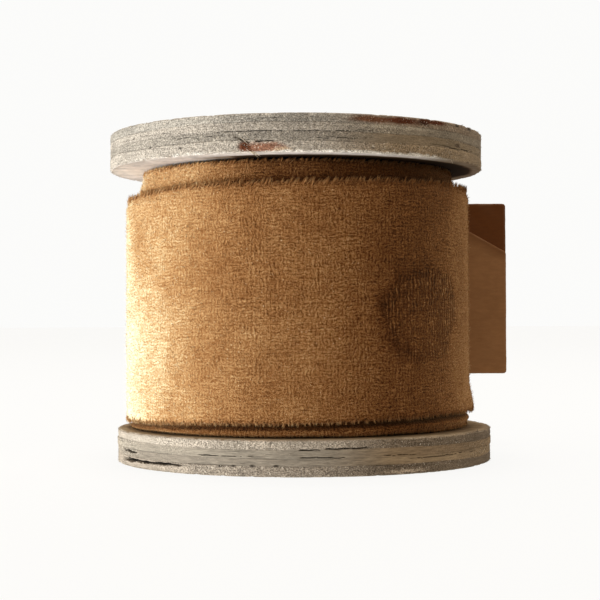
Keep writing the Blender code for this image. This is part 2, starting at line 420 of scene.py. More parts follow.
def velvet_thread_look(name, root, tip):
    """Single threads of the velvet: root and tip say how light they are against the pile."""
    sheen = {"Sheen Weight": 0.2, "Sheen Tint": VELVET_SHEEN}
    look = Look(name, {"Roughness": 0.9, "Specular IOR Level": 0.1, **sheen})
    light = look.range(look.attribute("tip"), 0.0, 1.0, root, tip)
    speckle = look.range(look.noise(1500, 1.0), 0.3, 0.7, 0.85, 1.15)
    return look.finish(velvet_tones(look, look.times(light, look.attribute("tone"), speckle)))


def card_look(cut_start, cut_end):
    """Smooth brown card, cloudy and faintly fibrous, with painted shade beside its slanted cut and painted
    shadow on the back layer above it.
    """
    look = Look("label_card", {"Specular IOR Level": 0.15})
    run, rise = cut_end[0] - cut_start[0], cut_end[1] - cut_start[1]
    long = math.hypot(run, rise)
    place = look.add("ShaderNodeSeparateXYZ", {"Vector": look.place}).outputs
    aside = look.times(look.maths("SUBTRACT", place["X"], cut_start[0] * MM), rise / long / MM)
    below = look.times(look.maths("SUBTRACT", place["Z"], cut_start[1] * MM), -run / long / MM)
    from_cut = look.plus(aside, below)
    # painted shade on the front layer, fading out over 2.3 mm from the slanted cut
    shade_by_cut = look.times(look.range(from_cut, 0.0, 2.3, 0.66, 0.0), look.attribute("front"))
    cloudy = look.noise(260, 4.0, 0.6)
    fibres = look.noise(2400, 3.0, 0.6, stretch=(0.25, 1.0, 1.0))
    worn = look.attribute("worn")
    fresh = look.mix(look.range(cloudy, 0.3, 0.7), (0.298, 0.141, 0.052), (0.341, 0.165, 0.065))
    # painted shadow on the back layer's front and the painted shade by the cut, both dark brown
    painted_card_shade = look.maths("MAXIMUM", look.attribute("painted_card_shade"), shade_by_cut)
    colour = look.mix(painted_card_shade, fresh, (0.118, 0.031, 0.001))
    colour = look.mix(look.times(worn, 0.22), colour, (0.50, 0.34, 0.21))
    colour = look.tinted(colour, look.range(fibres, 0.3, 0.7, 0.92, 1.08))
    return look.finish(colour, look.bump(fibres, 0.03, 0.5), look.range(cloudy, 0.2, 0.8, 0.5, 0.68))


def hub_look():
    """Turned wood with the grain along the axle line and fine tool rings."""
    look = Look("hub_wood", {"Specular IOR Level": 0.3})
    grain = look.noise(700, 4.0, 0.6, stretch=(1.0, 1.0, 0.06), distortion=0.4)
    rings = look.noise(1800, 1.0, 0.5, stretch=(0.02, 0.02, 1.0))
    colour = look.mix(look.range(grain, 0.3, 0.7), (0.36, 0.235, 0.13), (0.60, 0.44, 0.28))
    height = look.plus(grain, look.times(rings, 0.5))
    return look.finish(colour, look.bump(height, 0.08, 0.6), look.range(grain, 0.2, 0.8, 0.85, 0.65))


def steel_look():
    """Zinc-plated screws, dulled, with driver wear and a little tarnish."""
    look = Look("screw_steel", {"Metallic": 1.0})
    tarnish = look.noise(900, 4.0, 0.65)
    scuffs = look.noise(2600, 2.0, 0.5, stretch=(1.0, 0.15, 1.0))
    colour = look.mix(look.range(tarnish, 0.35, 0.7), (0.62, 0.61, 0.58), (0.33, 0.29, 0.24))
    rough = look.range(look.plus(tarnish, look.times(scuffs, 0.4)), 0.4, 1.0, 0.28, 0.62)
    return look.finish(colour, look.bump(scuffs, 0.02, 0.5), rough)


# ---------------------------------------------------------------- plywood discs

DISC_STEPS = 1080  # points round the rim
RIM_ROWS = 56
DISC_EDGE = 4.0  # mm of each face that is modelled finely
EASED = 0.22  # mm taken off the corners of the rim
BORE_RADIUS = 4.5
BORE_STEPS = 96
SCREW_STEPS = 32
OUTER_FACE = (0.38, 0.33, 0.27)
RIM_FIBRES = 1500  # on each disc
SCREW_SUNK = 0.4  # mm from a disc's face down to a screw's head


class Disc:
    """One plywood disc: its place from the frame, what weather and wear did to it, and the shade painted on
    it.
    Tables over angles give degrees right of the front and the values there. The painted shade beside the
    ribbon says how far in from the rim that shade starts on the inner face, and how dark it is."""

    shadow_wedge = 0.0
    torn_and_lit = ([-180, 180], [0.0, 0.0])

    def __init__(self, name, node, screws, outer_up, seed, **wear):
        low, high = box_mm(node)
        self.name, self.node, self.screws, self.outer_up, self.seed = name, node, screws, outer_up, seed
        self.x = (low[0] + high[0]) / 2.0
        self.radius = (high[1] - low[1]) / 2.0
        self.low, self.high = low[2], high[2]
        self.thick = self.high - self.low
        for key, value in wear.items():
            setattr(self, key, value)


def front_angle(degrees):
    """An angle round the spool, in degrees right of the front, as radians from +X."""
    return math.radians(degrees - 90.0)


def ply_borders(disc, rim):
    """The height of each glue line at each angle, gently wavy, as shares of the disc's thickness."""
    waves = [fractal(rim, (14.0, 14.0, 50.0), disc.seed + 31 * k, 3) for k in range(len(disc.borders))]
    return [level + disc.waver * wave for level, wave in zip(disc.borders, waves)]


TORN_LIT_WOOD = (0.93, 0.88, 0.80)


def rim_surface(disc, angle, height):
    """For points round the rim: how far they move out (mm), their tone, and how far they are end grain."""
    rim = np.stack([disc.radius * np.cos(angle), disc.radius * np.sin(angle), height], axis=-1)
    share = (height - disc.low) / disc.thick
    flat_rim = rim * (1.0, 1.0, 0.0)
    from_front = turn_between(angle, front_angle(0.0))
    borders = ply_borders(disc, flat_rim)

    def rim_noise(size, seed):
        return noise(rim, size, disc.seed + seed)

    def rim_chips(size, seed):
        return fractal(rim, size, disc.seed + seed, 3)

    def level_noise(size, seed):
        return noise(flat_rim, size, disc.seed + seed)

    ply = sum((share > b).astype(int) for b in borders)
    facing_y = np.abs(np.sin(angle)) ** 1.4
    along_y = np.array([p[1] for p in disc.plies])[ply]
    end = along_y * facing_y + (1.0 - along_y) * (1.0 - facing_y)
    left = 1.0 - smooth(from_front, math.radians(3.0), math.radians(32.0))
    left = left * (1.0 - smooth(-from_front, math.radians(95.0), math.radians(130.0)))
    end = np.maximum(end, disc.sawn * left)
    end = smooth(end + 0.20 * rim_noise((5.0, 5.0, 1.2), 5), 0.15, 0.75)

    rough = rim_noise((0.32, 0.32, 0.3), 1)
    streaks = rim_noise((3.2, 3.2, 0.26), 2)
    out = 0.07 * end * rough + 0.045 * (1.0 - end) * streaks
    drift = level_noise(24.0, 99)
    # greyer on the left, where the rim is weathered, and browner on the right, partly painted shade
    warm = np.clip(1.0 - left + 0.35 * drift, 0.0, 1.0)[..., None]
    tone = np.zeros(rim.shape)
    for k, (proud, _, grey, brown) in enumerate(disc.plies):
        here = ply == k
        own = level_noise(18.0, 100 + k)
        out = out + here * (proud + 0.05 * own)
        colour = np.array(grey) * (1.0 - warm) + np.array(brown) * warm
        tone = tone + here[..., None] * colour * (1.0 + 0.10 * own[..., None])
    glue = 0.0
    for k, border in enumerate(borders):
        gap = np.abs(share - border) * disc.thick
        open_here = 0.25 + 0.75 * smooth(level_noise(9.0, 200 + k), -0.4, 0.7)
        glue = np.maximum(glue, bump_at(gap, 0.0, 0.085) * open_here)
    out = out - 0.07 * glue

    bands = rim_chips((11.0, 11.0, 0.7), 3)
    tone = tone * (1.0 + 0.22 * bands[..., None])
    tone = tone * (1.0 - 0.40 * glue[..., None])
    for centre, level, wide, tall, colour, strength in disc.stains:
        aside = turn_between(angle, front_angle(centre)) * disc.radius / wide
        d = aside**2 + ((share - level) / tall) ** 2
        ragged = 1.0 + 0.75 * rim_chips((1.6, 1.6, 0.5), 9)
        amount = strength * np.clip(1.25 - d * ragged, 0.0, 1.0)[..., None]
        tone = tone * (1.0 - amount) + np.array(colour) * amount
    split = 0.0
    for first, last, level_a, level_b, wide, deep in disc.cracks:
        a, b = front_angle(first), front_angle(last)
        t = turn_between(angle, a) / (b - a)
        inside = smooth(t, -0.02, 0.10) * (1.0 - smooth(t, 0.86, 1.02)) * (np.abs(t) < 3.0)
        wobble = 0.018 * level_noise(1.7, 40) + 0.008 * level_noise(0.6, 41)
        line = level_a + (level_b - level_a) * np.clip(t, 0, 1) + wobble
        gape = wide * (0.72 + 0.33 * level_noise(1.9, 43)) * (1.0 - 0.5 * np.clip(t, 0, 1))
        reach = 1.0 - smooth(np.abs(share - line) * disc.thick, gape * 0.30, gape * 0.95)
        split = np.maximum(split, reach * inside)
        out = out - deep * reach * inside
    tone = tone * (1.0 - 0.93 * np.asarray(split)[..., None])

    chips = smooth(rim_chips((1.3, 1.3, 1.3), 6), 0.20, 0.75)
    near_edge = bump_at(share, 0.0, 0.055) + bump_at(share, 1.0, 0.055)
    out = out - near_edge * (0.30 * chips + 0.03)
    tone = tone * (1.0 + 0.75 * (near_edge * chips)[..., None])
    # torn, bare fibres along the lower edge, pale also as a painted highlight where light catches the edge
    fibre_ends = level_noise(1.9, 71) + 0.9 * level_noise(0.55, 72)
    torn_to = 0.01 + np.clip(0.28 + 0.30 * fibre_ends, 0.0, 0.75)
    bare_and_lit = np.interp(np.degrees(from_front), *disc.torn_and_lit) * (1.0 - smooth(share * disc.thick, 0.0, torn_to))
    bare_and_lit = np.clip(2.2 * bare_and_lit, 0.0, 1.0)
    tone = tone * (1.0 - bare_and_lit[..., None]) + np.array(TORN_LIT_WOOD) * bare_and_lit[..., None]
    return out - 0.10 * bare_and_lit, np.clip(tone, 0.004, 0.95), end


def countersink_loops(x, y, face, other, head, shank):
    """The rings of a countersunk hole, from the disc's outer face through to its inner face."""
    inward = math.copysign(1.0, other - face)
    turns = np.arange(SCREW_STEPS) * TAU / SCREW_STEPS
    heights = [face, face + inward * SCREW_SUNK, face + inward * (SCREW_SUNK + head - shank), other]
    return [
        np.stack([x + radius * np.cos(turns), y + radius * np.sin(turns), 0.0 * turns + height], axis=-1)
        for radius, height in zip((head, head, shank, shank), heights)
    ]


def face_tone(points, disc, colour, inner):
    """The tone of a disc's flat face: mottled near the rim, and on the inner face darkened by painted shade
    beside the ribbon and, where the disc has one, by a painted shadow wedge."""
    stripes = fractal(points, (26.0, 1.1, 60.0), disc.seed + 61, 4)
    clouds = fractal(points, (14.0, 9.0, 60.0), disc.seed + 62, 3)
    specks = noise(points, 0.35, disc.seed + 63)
    inward = disc.radius - np.hypot(points[..., 0], points[..., 1])
    close = 1.0 - smooth(inward, 2.6, DISC_EDGE)
    tone = np.array(colour) * (1.0 + close * (0.05 * stripes + 0.10 * clouds + 0.10 * specks))[..., None]
    if not inner:
        return tone
    right_of_front = np.degrees(turn_between(np.arctan2(points[..., 1], points[..., 0]), front_angle(0.0)))
    # painted shade on the inner face beside the ribbon, starting some way in from the rim
    start = np.interp(right_of_front, disc.grime[0], disc.grime[1])
    ragged = inward + 0.25 * fractal(points, 1.6, disc.seed + 64, 2)
    grime = smooth(ragged, start, start + 1.0) * disc.grime[2]
    # painted shadow: a dark wedge on the right of the inner face
    shadow_wedge = disc.shadow_wedge * smooth(right_of_front, 40.0, 58.0) * (1.0 - smooth(right_of_front, 110.0, 135.0))
    kept = (1.0 - grime) * (1.0 - shadow_wedge)
    return tone * kept[..., None] ** np.array((1.0, 1.2, 1.45))


def build_disc(disc, look):
    """The disc as one closed mesh: fine rim and face edges, flat faces, bore and screw holes."""
    angle = np.arange(DISC_STEPS) * TAU / DISC_STEPS
    inset = [DISC_EDGE, 3.2, 2.6, 2.1, 1.7, 1.4, 1.1, 0.85, 0.65, 0.42, EASED]
    up_rim = [disc.low + EASED + (disc.thick - 2 * EASED) * (k / RIM_ROWS) for k in range(RIM_ROWS + 1)]
    rows = [(disc.radius - step, disc.low, "low") for step in inset]
    rows += [(disc.radius, height, "rim") for height in up_rim]
    rows += [(disc.radius - step, disc.high, "high") for step in inset[::-1]]

    points, tones, ends, faces_mask = [], [], [], []
    low_face, high_face = (disc.inner_face, OUTER_FACE) if disc.outer_up else (OUTER_FACE, disc.inner_face)
    face_colour = {"low": low_face, "high": high_face}
    for radius, height, part in rows:
        out, tone, end = rim_surface(disc, angle, np.full(DISC_STEPS, height))
        inward = disc.radius - radius
        fade = 1.0 if part == "rim" else float(np.exp(-inward / 0.5))
        r = radius + out * fade
        x, y = r * np.cos(angle), r * np.sin(angle)
        z = np.full(DISC_STEPS, height)
        flatness = 0.0
        if part != "rim":
            ring = np.stack([x, y, z], axis=-1)
            dent = smooth(fractal(ring, (1.4, 1.4, 50.0), disc.seed + 8, 3), 0.15, 0.8)
            sign = 1.0 if part == "low" else -1.0
            z = z + sign * dent * 0.30 * math.exp(-((inward / 0.9) ** 2)) * (inward < DISC_EDGE)
            flat = face_tone(ring, disc, face_colour[part], (part == "low") == disc.outer_up)
            tone = tone * fade + flat * (1.0 - fade)
            end = end * fade
            flatness = (1.0 - fade) * (1.0 if (part == "high") == disc.outer_up else 0.4)
        points.append(np.stack([x + disc.x, y, z], axis=-1))
        tones.append(tone)
        ends.append(end)
        faces_mask.append(np.full(DISC_STEPS, flatness))
    points = np.concatenate(points)
    on_rim = len(points)
    faces = [list(q) for q in ring_quads(len(rows), DISC_STEPS)]
    extra = []

    def add_ring(ring):
        start = len(points) + sum(len(e) for e in extra)
        extra.append(ring)
        return list(range(start, start + len(ring)))

    def join(a, b):
        n = len(a)
        return [[a[i], a[(i + 1) % n], b[(i + 1) % n], b[i]] for i in range(n)]

    turns = np.arange(BORE_STEPS) * TAU / BORE_STEPS
    round_bore = [BORE_RADIUS * np.cos(turns), BORE_RADIUS * np.sin(turns)]
    bore = [add_ring(np.stack([*round_bore, np.full(BORE_STEPS, z)], axis=-1)) for z in (disc.low, disc.high)]
    faces += [q[::-1] for q in join(bore[0], bore[1])]
    outer, inner = (disc.high, disc.low) if disc.outer_up else (disc.low, disc.high)
    holes_outer, holes_inner = [], []
    for x, y, head, shank in disc.screws:
        rings = [add_ring(r) for r in countersink_loops(x, y, outer, inner, head, shank)]
        for a, b in zip(rings, rings[1:]):
            quads = join(a, b)
            faces += quads if disc.outer_up else [q[::-1] for q in quads]
        holes_outer.append(rings[0])
        holes_inner.append(rings[-1])
    low_edge = list(range(DISC_STEPS))
    high_edge = list(range(on_rim - DISC_STEPS, on_rim))
    points = np.concatenate([points] + extra)
    for edge, hub_loop, holes, up in (
        (low_edge, bore[0], holes_inner if disc.outer_up else holes_outer, False),
        (high_edge, bore[1], holes_outer if disc.outer_up else holes_inner, True),
    ):
        loops = [edge, hub_loop] + holes
        index = [i for loop in loops for i in loop]
        for triangle in fill_loops([[(points[i][0], points[i][1], 0.0) for i in loop] for loop in loops]):
            face = [index[i] for i in triangle]
            faces.append(face if up else face[::-1])
    added = points[on_rim:]
    added_tone = np.where(
        added[:, 2:3] > (disc.low + disc.high) / 2.0,
        face_tone(added, disc, face_colour["high"], not disc.outer_up),
        face_tone(added, disc, face_colour["low"], disc.outer_up),
    )
    attributes = {
        "tone": np.concatenate(tones + [added_tone]),
        "end_grain": np.concatenate(ends + [np.zeros(len(added))]),
        "face": np.concatenate(faces_mask + [np.ones(len(added))]),
    }
    made = mesh_object(disc.name, points, faces, look, attributes)
    made.data.set_sharp_from_angle(angle=math.radians(38))
    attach(made, "spool")
    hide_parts(disc.node)


def screw_holes(prefix):
    """Where the frame's screws go through a disc, and the size of the holes round them, in mm."""
    holes = []
    for node in sorted(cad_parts):
        if node.startswith(prefix):
            low, high = box_mm(node)
            head = (high[0] - low[0]) / 2.0
            holes.append(((low[0] + high[0]) / 2.0, (low[1] + high[1]) / 2.0, head + 0.3, head - 1.1))
    return holes


SPECKLED = (0.40, 0.355, 0.30)
SMOOTH_GREY = (0.30, 0.268, 0.225)
TAN = (0.33, 0.245, 0.155)
PALE_TAN = (0.30, 0.23, 0.15)
UMBER = (0.20, 0.155, 0.11)
BROWN = (0.26, 0.185, 0.115)
RED_BROWN = (0.105, 0.032, 0.013)
NEARLY_BLACK = (0.020, 0.015, 0.011)

top = Disc(
    "plywood_top", "top_disc", screw_holes("top_screw"), True, 3,
    # a pale face, made paler by a painted highlight where the light falls under the top disc
    inner_face=(0.80, 0.745, 0.70),
    borders=[0.30, 0.55, 0.76],
    sawn=0.9,
    waver=0.055,
    # painted shadow wedge on the right of the inner face
    shadow_wedge=0.55,
    # painted shade beside the ribbon on the inner face
    grime=(
        [-180, -75, -35, -10, 20, 45, 62, 75, 95, 130, 180],
        [9.0, 9.0, 3.8, 2.9, 2.7, 2.4, 1.7, 1.3, 1.2, 4.0, 9.0],
        0.96,
    ),
    # torn bare fibres along the lower edge, pale also as a painted highlight
    torn_and_lit=([-180, -62, -42, -12, -8, 32, 44, 52, 180], [0.0, 0.0, 0.3, 0.3, 1.0, 1.0, 0.6, 0.0, 0.0]),
    plies=[
        # how far it stands out (mm), 1 if its grain runs along Y, tone on the weathered left, browner tone on
        # the right (partly painted shade)
        (0.02, 1.0, SPECKLED, TAN),
        (-0.04, 0.3, SMOOTH_GREY, PALE_TAN),
        (0.02, 0.7, SPECKLED, (0.28, 0.235, 0.175)),
        (0.0, 0.6, (0.35, 0.32, 0.275), (0.27, 0.205, 0.145)),
    ],
    cracks=[
        # first and last angle (degrees right of the front), first and last height (share), width, depth
        (-10.8, -5.4, 0.27, 0.26, 0.18, 0.8),
        (-24.0, -1.0, 0.56, 0.52, 0.09, 0.15),
        (-38.0, -22.0, 0.46, 0.44, 0.08, 0.15),
        (-17.0, -12.0, 0.40, 0.22, 0.12, 0.4),
        (4.0, 22.0, 0.36, 0.38, 0.07, 0.12),
        (-2.0, 34.0, 0.52, 0.60, 0.06, 0.10),
        (-60.0, -50.0, 0.60, 0.62, 0.08, 0.15),
        (50.0, 66.0, 0.30, 0.34, 0.10, 0.25),
        (122.0, 150.0, 0.62, 0.60, 0.16, 0.7),
        (188.0, 204.0, 0.22, 0.20, 0.18, 0.7),
        (-118.0, -96.0, 0.42, 0.40, 0.14, 0.6),
    ],
    stains=[
        # angle, height (share), half-width and half-height, tone, strength
        (-9.0, 0.12, 3.9, 0.17, (0.27, 0.125, 0.075), 0.95),
        (-14.0, 0.15, 1.2, 0.17, RED_BROWN, 1.0),
        (-3.6, 0.06, 1.5, 0.06, (0.62, 0.45, 0.30), 0.8),
        # pale patches along the lower edge: bare wood, and a painted highlight where light catches the edge
        (4.0, 0.01, 6.0, 0.035, (0.74, 0.69, 0.62), 0.8),
        (18.0, 0.02, 5.0, 0.045, (0.76, 0.71, 0.64), 0.9),
        (32.0, 0.01, 5.0, 0.035, (0.70, 0.64, 0.56), 0.8),
        (22.0, 0.87, 4.4, 0.10, (0.16, 0.065, 0.030), 0.95),
        (31.0, 0.88, 4.2, 0.10, RED_BROWN, 1.0),
        (39.5, 0.90, 1.3, 0.10, (0.045, 0.018, 0.010), 1.0),
        (44.0, 0.93, 3.2, 0.08, RED_BROWN, 1.0),
        (30.0, 0.70, 8.5, 0.045, (0.46, 0.40, 0.31), 0.7),
        (55.0, 0.41, 1.0, 0.06, (0.10, 0.07, 0.045), 0.9),
        (54.5, 0.95, 0.7, 0.05, NEARLY_BLACK, 0.9),
        (63.0, 0.93, 1.0, 0.05, NEARLY_BLACK, 0.8),
        (-46.2, 0.30, 0.42, 0.035, NEARLY_BLACK, 1.0),
        (-34.0, 0.20, 0.5, 0.03, NEARLY_BLACK, 0.8),
        (160.0, 0.52, 4.0, 0.12, RED_BROWN, 0.6),
        (-150.0, 0.75, 5.0, 0.10, BROWN, 0.6),
    ],
)
bottom = Disc(
    "plywood_bottom", "bottom_disc", screw_holes("bottom_screw"), False, 11,
    # browner and darker, partly painted shade on this upward face
    inner_face=(0.36, 0.27, 0.165),
    borders=[0.29, 0.51, 0.75],
    sawn=0.15,
    waver=0.035,
    # painted shade beside the ribbon on the inner face
    grime=([-180, -80, 0, 40, 90, 180], [6.0, 6.0, 2.0, 1.2, 0.6, 6.0], 0.35),
    plies=[
        (0.02, 1.0, (0.32, 0.27, 0.215), UMBER),
        (-0.05, 0.0, (0.285, 0.245, 0.195), (0.34, 0.25, 0.155)),
        (0.05, 0.1, (0.31, 0.27, 0.215), (0.32, 0.23, 0.14)),
        (0.02, 1.0, (0.40, 0.345, 0.28), UMBER),
    ],
    cracks=[
        (-69.5, -36.0, 0.205, 0.235, 0.50, 1.3),
        (-68.5, -58.0, 0.47, 0.43, 0.30, 0.8),
        (-1.5, 4.4, 0.745, 0.74, 0.17, 0.6),
        (5.5, 18.2, 0.77, 0.785, 0.17, 0.6),
        (-1.5, 12.0, 0.545, 0.53, 0.13, 0.5),
        (22.0, 33.0, 0.55, 0.53, 0.08, 0.3),
        (-30.0, -24.0, 0.55, 0.55, 0.10, 0.3),
        (30.0, 62.0, 0.44, 0.46, 0.09, 0.2),
        (-33.0, -8.0, 0.56, 0.55, 0.07, 0.12),
        (98.0, 131.0, 0.78, 0.80, 0.18, 0.8),
        (170.0, 190.0, 0.42, 0.40, 0.16, 0.7),
        (-140.0, -112.0, 0.62, 0.60, 0.16, 0.7),
    ],
    stains=[
        (-23.9, 0.27, 0.40, 0.035, NEARLY_BLACK, 0.9),
        (-20.0, 0.29, 0.40, 0.03, NEARLY_BLACK, 0.9),
        (-14.5, 0.30, 0.55, 0.04, NEARLY_BLACK, 0.9),
        (-7.8, 0.31, 0.40, 0.03, NEARLY_BLACK, 0.9),
        (30.0, 0.10, 4.2, 0.05, (0.62, 0.50, 0.38), 0.7),
        (45.0, 0.62, 9.0, 0.12, BROWN, 0.5),
        (33.0, 0.985, 5.0, 0.03, (0.55, 0.43, 0.29), 0.7),
        (48.0, 0.985, 5.0, 0.03, (0.50, 0.38, 0.25), 0.7),
        (-50.0, 0.85, 8.0, 0.10, (0.52, 0.46, 0.38), 0.5),
        (120.0, 0.30, 4.0, 0.12, RED_BROWN, 0.55),
        (-125.0, 0.35, 5.0, 0.12, BROWN, 0.6),
    ],
)
plywood = plywood_look()
build_disc(top, plywood)
build_disc(bottom, plywood)


def rim_fibres(disc, count, random):
    """Short raised wood fibres along the rim and its corners, lying mostly along the grain."""
    angle = random.uniform(0, TAU, count)
    share = np.where(random.random(count) < 0.55, np.round(random.random(count)), random.random(count))
    z = disc.low + 0.12 + share * (disc.thick - 0.24)
    length = random.uniform(0.25, 0.9, count) * np.where(random.random(count) < 0.06, 1.8, 1.0)
    turn = random.choice([-1.0, 1.0], count) * length / disc.radius * random.uniform(0.4, 1.0, count)
    lift = random.uniform(0.04, 0.24, count)
    rise = random.uniform(-0.12, 0.12, count)
    root_r = disc.radius - 0.12
    roots = np.stack([root_r * np.cos(angle) + disc.x, root_r * np.sin(angle), z], axis=-1)
    tip_r = disc.radius + lift
    tips = np.stack([tip_r * np.cos(angle + turn) + disc.x, tip_r * np.sin(angle + turn), z + rise], axis=-1)
    return roots, tips, random.uniform(0.018, 0.04, count), random.uniform(0.6, 1.25, count)


def rim_splinters(disc, listed):
    """Larger splinters: angle, height (share), along the rim, outward and up (mm), width and tone."""
    rows = []
    for degrees, share, turn, out, up, width, tone in listed:
        a = front_angle(degrees)
        b = a + turn / disc.radius
        z = disc.low + share * disc.thick
        r = disc.radius - 0.15
        root = (r * math.cos(a) + disc.x, r * math.sin(a), z)
        tip_r = disc.radius + out
        rows.append((root, (tip_r * math.cos(b) + disc.x, tip_r * math.sin(b), z + up), width, tone))
    return [np.array([row[k] for row in rows], float) for k in range(4)]


wood_fibre = fibre_look("wood_fibre", (0.42, 0.35, 0.26), (0.62, 0.54, 0.43))
splinters = {
    top: [
        (-13.6, 0.10, 2.1, 0.30, -1.5, 0.16, 1.35),
        (-12.0, 0.03, 1.5, 0.28, -0.9, 0.13, 1.5),
        (-14.4, 0.14, 1.2, 0.25, -0.8, 0.12, 1.1),
        (-17.2, 0.46, 1.9, 0.20, -1.5, 0.13, 0.28),
        (-16.2, 0.30, 2.1, 0.20, -1.3, 0.16, 0.22),
        (-15.4, 0.42, 1.7, 0.22, -1.6, 0.11, 0.9),
        (-12.4, 0.34, -0.9, 0.18, 0.7, 0.10, 0.8),
        (-8.0, 0.24, 1.8, 0.16, 0.1, 0.10, 1.3),
        (51.6, 0.0, 0.2, 0.1, -0.7, 0.04, 2.0),
        (8.0, 0.98, 0.4, 0.1, 0.25, 0.05, 0.5),
        (57.0, 0.98, 0.6, 0.2, 0.2, 0.07, 0.4),
        (140.0, 0.02, 0.7, 0.2, -0.5, 0.10, 0.9),
        (-128.0, 0.98, 0.8, 0.2, 0.2, 0.09, 0.8),
    ],
    bottom: [
        (62.1, 0.97, 0.25, 0.1, 0.9, 0.07, 0.5),
        (60.0, 0.97, -0.3, 0.1, 0.35, 0.06, 0.8),
        (27.0, 0.04, 0.9, 0.15, -0.0, 0.10, 1.5),
        (31.0, 0.06, 0.8, 0.15, -0.0, 0.10, 1.5),
        (-66.0, 0.22, 1.6, 0.12, 0.3, 0.10, 0.9),
        (-55.0, 0.18, 1.4, 0.10, -0.2, 0.10, 1.1),
        (150.0, 0.97, 0.7, 0.2, 0.3, 0.10, 0.9),
    ],
}
for disc, seed in ((top, 41), (bottom, 42)):
    random = np.random.default_rng(seed)
    parts = [rim_fibres(disc, RIM_FIBRES, random), rim_splinters(disc, splinters[disc])]
    roots, tips, widths, tones = (np.concatenate([p[k] for p in parts]) for k in range(4))
    tips[:, 2] = np.clip(tips[:, 2], 0.05, TOP_HIGH[2] + 0.25)
    fuzz = spikes(disc.name + "_splinters", roots, tips, widths, wood_fibre, tones, np.zeros(roots.shape))
    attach(fuzz, "spool")


# ---------------------------------------------------------------- velvet ribbon

RIBBON_WIDTH = 38.0
FACE_FIBRES = 34000  # raised fibres of pile on the outermost turn
BAND_FIBRES = 6000  # and on the strip of the next turn that shows above it
CLOTH = 0.85  # mm, backing and pile together
PITCH = 0.99  # mm from one turn to the next
LIFT_ANGLE = math.radians(131.0)  # where the free end leaves the roll
OUTER_RADIUS = 30.29  # of the roll, at the lift point
ROLL_TURNS = 16.5
FINE_TURNS = 3.05  # modelled closely; the turns below are hidden
LOOP = 76  # points round the ribbon's cross-section where it is modelled closely
LOOP_COARSE = LOOP // 4


def turn_angle(s):
    """The direction from the axle, s turns in from where the free end lifts off; s counts inwards."""
    return LIFT_ANGLE + TAU * s


def level_of(s):
    """The height of the ribbon's lower edge, s turns in: it climbs and falls as it was wound."""
    key_s = [0.0, 0.136, 0.386, 0.55, 0.636, 0.75, 1.08, 1.70, 2.08, 2.72, 3.1, 3.7, 4.2, 5.1, 6.3]
    key_z = [7.0, 7.1, 8.0, 8.7, 8.9, 9.1, 11.75, 11.75, 5.97, 5.97, 9.0, 10.5, 7.5, 11.0, 6.8]
    key_s += [7.6, 8.4, 9.7, 10.9, 12.2, 13.4, 14.6, 15.4, 16.6]
    key_z += [10.6, 7.6, 11.2, 7.0, 10.8, 7.4, 11.0, 8.0, 9.4]
    return eased(s, key_s, key_z)


def radius_of(s):
    """The outer surface of the ribbon, s turns in: slightly out of round, and flat under the label."""
    angle = turn_angle(s)
    lopsided = -0.2 * np.cos(angle) * (1.0 - s / 16.0)
    under_card = 0.42 * np.exp(-s / 4.0) * bump_at(turn_between(angle, math.radians(90.0)), 0.0, 0.55)
    return OUTER_RADIUS - PITCH * s + lopsided - under_card


def tail_path():
    """The free end seen from above: the outer surface from its cut end, over the label, to the roll."""
    start = radius_of(np.array([0.0]))[0] * np.array([math.cos(LIFT_ANGLE), math.sin(LIFT_ANGLE)])
    away = np.array([math.sin(LIFT_ANGLE), -math.cos(LIFT_ANGLE)])
    bend = start + away * 11.5
    crest = np.array([-3.0, RIBBON_HIGH[1] + 0.25])
    end = np.array([9.0, RIBBON_HIGH[1] - 0.05])
    curves = [
        (start, start + away * 4.0, bend - away * 4.0, bend),
        (bend, bend + away * 2.3, crest - np.array([4.0, 0.0]), crest),
        (crest, crest + np.array([4.0, 0.0]), end + np.array([-4.0, 0.1]), end),
    ]
    points = []
    for a, b, c, d in curves:
        t = np.linspace(0.0, 1.0, 200, endpoint=False)[:, None]
        points.append((1 - t) ** 3 * a + 3 * (1 - t) ** 2 * t * b + 3 * (1 - t) * t**2 * c + t**3 * d)
    return np.concatenate(points + [end[None]])[::-1]


def ribbon_columns():
    """The ribbon's stations from its free end inwards: place, outward direction, s, length so far."""
    tail = tail_path()
    lengths = np.concatenate([[0.0], np.cumsum(np.linalg.norm(np.diff(tail, axis=0), axis=1))])
    at = np.arange(0.0, lengths[-1] - 0.2, 0.34)
    tail = np.stack([np.interp(at, lengths, tail[:, k]) for k in (0, 1)], axis=-1)
    close = np.arange(0.0, 1.0, 0.36 / (TAU * 29.9))
    nearly = np.arange(1.0, 1.75, 0.62 / (TAU * 28.9))
    mostly = np.arange(1.75, FINE_TURNS, 0.9 / (TAU * 28.0))
    hidden = [FINE_TURNS]
    while hidden[-1] < ROLL_TURNS:
        hidden.append(hidden[-1] + 2.4 / (TAU * (OUTER_RADIUS - PITCH * hidden[-1])))
    s = np.concatenate([close, nearly, mostly, hidden])
    angle = turn_angle(s)
    roll = radius_of(s)[:, None] * np.stack([np.cos(angle), np.sin(angle)], axis=-1)
    place = np.concatenate([tail, roll])
    ahead = np.gradient(place, axis=0)
    out = np.stack([ahead[:, 1], -ahead[:, 0]], axis=-1)
    out /= np.linalg.norm(out, axis=1, keepdims=True)
    s = np.concatenate([np.zeros(len(tail)), s])
    length = np.concatenate([[0.0], np.cumsum(np.linalg.norm(np.diff(place, axis=0), axis=1))])
    fine = len(s) - len(hidden)
    return place, out, s, length, fine


def near_direction(angle, degrees, width):
    """A soft bell round a direction in degrees right of the front; its width is in radians."""
    return bump_at(turn_between(angle, front_angle(degrees)), 0.0, width)


